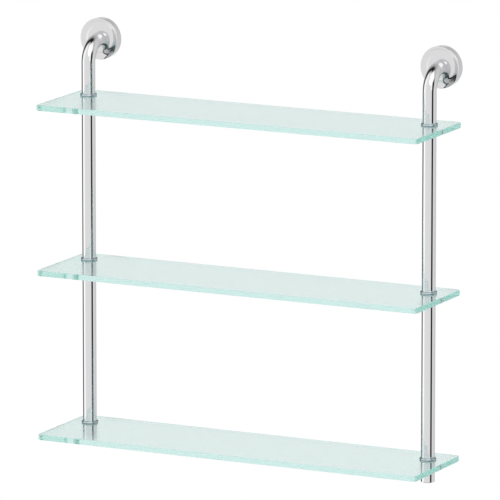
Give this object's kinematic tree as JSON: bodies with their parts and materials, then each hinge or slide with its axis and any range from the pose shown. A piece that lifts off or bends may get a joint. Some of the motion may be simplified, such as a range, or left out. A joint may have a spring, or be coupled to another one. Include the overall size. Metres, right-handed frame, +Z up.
{
  "type": "tiered glass wall shelf",
  "caption": "Wall-hung tiered shelf: clear glass plates clamped between lengths of chromed tube, each post bent back at the top into a round wall rosette.",
  "frame": {"origin": "on the wall plane, midway between the centres of the two rosettes", "axes": "+X runs right along the wall as seen from the room, +Y into the wall, +Z up"},
  "size_m": [0.6, 0.15, 0.619],
  "materials": {
    "glass": "clear float glass with polished edges that look pale green",
    "chrome": "bright chrome plate",
    "zinc_steel": "zinc-plated steel",
    "brass": "turned brass",
    "white_nylon": "natural white nylon",
    "grey_rubber": "soft grey rubber"
  },
  "bodies": {
    "root": {"top_glass": "glass", "middle_glass": "glass", "low_glass": "glass", "left_wall_plate": "zinc_steel", "left_rosette": "chrome", "left_grub_screw": "zinc_steel", "left_arm_washer": "zinc_steel", "left_arm_screw": "zinc_steel", "left_arm_plug": "brass", "left_bent_arm": "chrome", "left_arm_insert": "brass", "left_end_nut": "chrome", "left_upper_post": "chrome", "left_upper_post_foot_insert": "brass", "left_upper_post_head_insert": "brass", "left_lower_post": "chrome", "left_lower_post_foot_insert": "brass", "left_lower_post_head_insert": "brass", "left_top_collar": "chrome", "left_top_bush": "white_nylon", "left_top_stud": "zinc_steel", "left_top_washer": "grey_rubber", "left_middle_collar": "chrome", "left_middle_bush": "white_nylon", "left_middle_stud": "zinc_steel", "left_middle_washer": "grey_rubber", "left_low_collar": "chrome", "left_low_bush": "white_nylon", "left_low_stud": "zinc_steel", "left_low_washer": "grey_rubber", "right_wall_plate": "zinc_steel", "right_rosette": "chrome", "right_grub_screw": "zinc_steel", "right_arm_washer": "zinc_steel", "right_arm_screw": "zinc_steel", "right_arm_plug": "brass", "right_bent_arm": "chrome", "right_arm_insert": "brass", "right_end_nut": "chrome", "right_upper_post": "chrome", "right_upper_post_foot_insert": "brass", "right_upper_post_head_insert": "brass", "right_lower_post": "chrome", "right_lower_post_foot_insert": "brass", "right_lower_post_head_insert": "brass", "right_top_collar": "chrome", "right_top_bush": "white_nylon", "right_top_stud": "zinc_steel", "right_top_washer": "grey_rubber", "right_middle_collar": "chrome", "right_middle_bush": "white_nylon", "right_middle_stud": "zinc_steel", "right_middle_washer": "grey_rubber", "right_low_collar": "chrome", "right_low_bush": "white_nylon", "right_low_stud": "zinc_steel", "right_low_washer": "grey_rubber"}
  },
  "joints": []
}
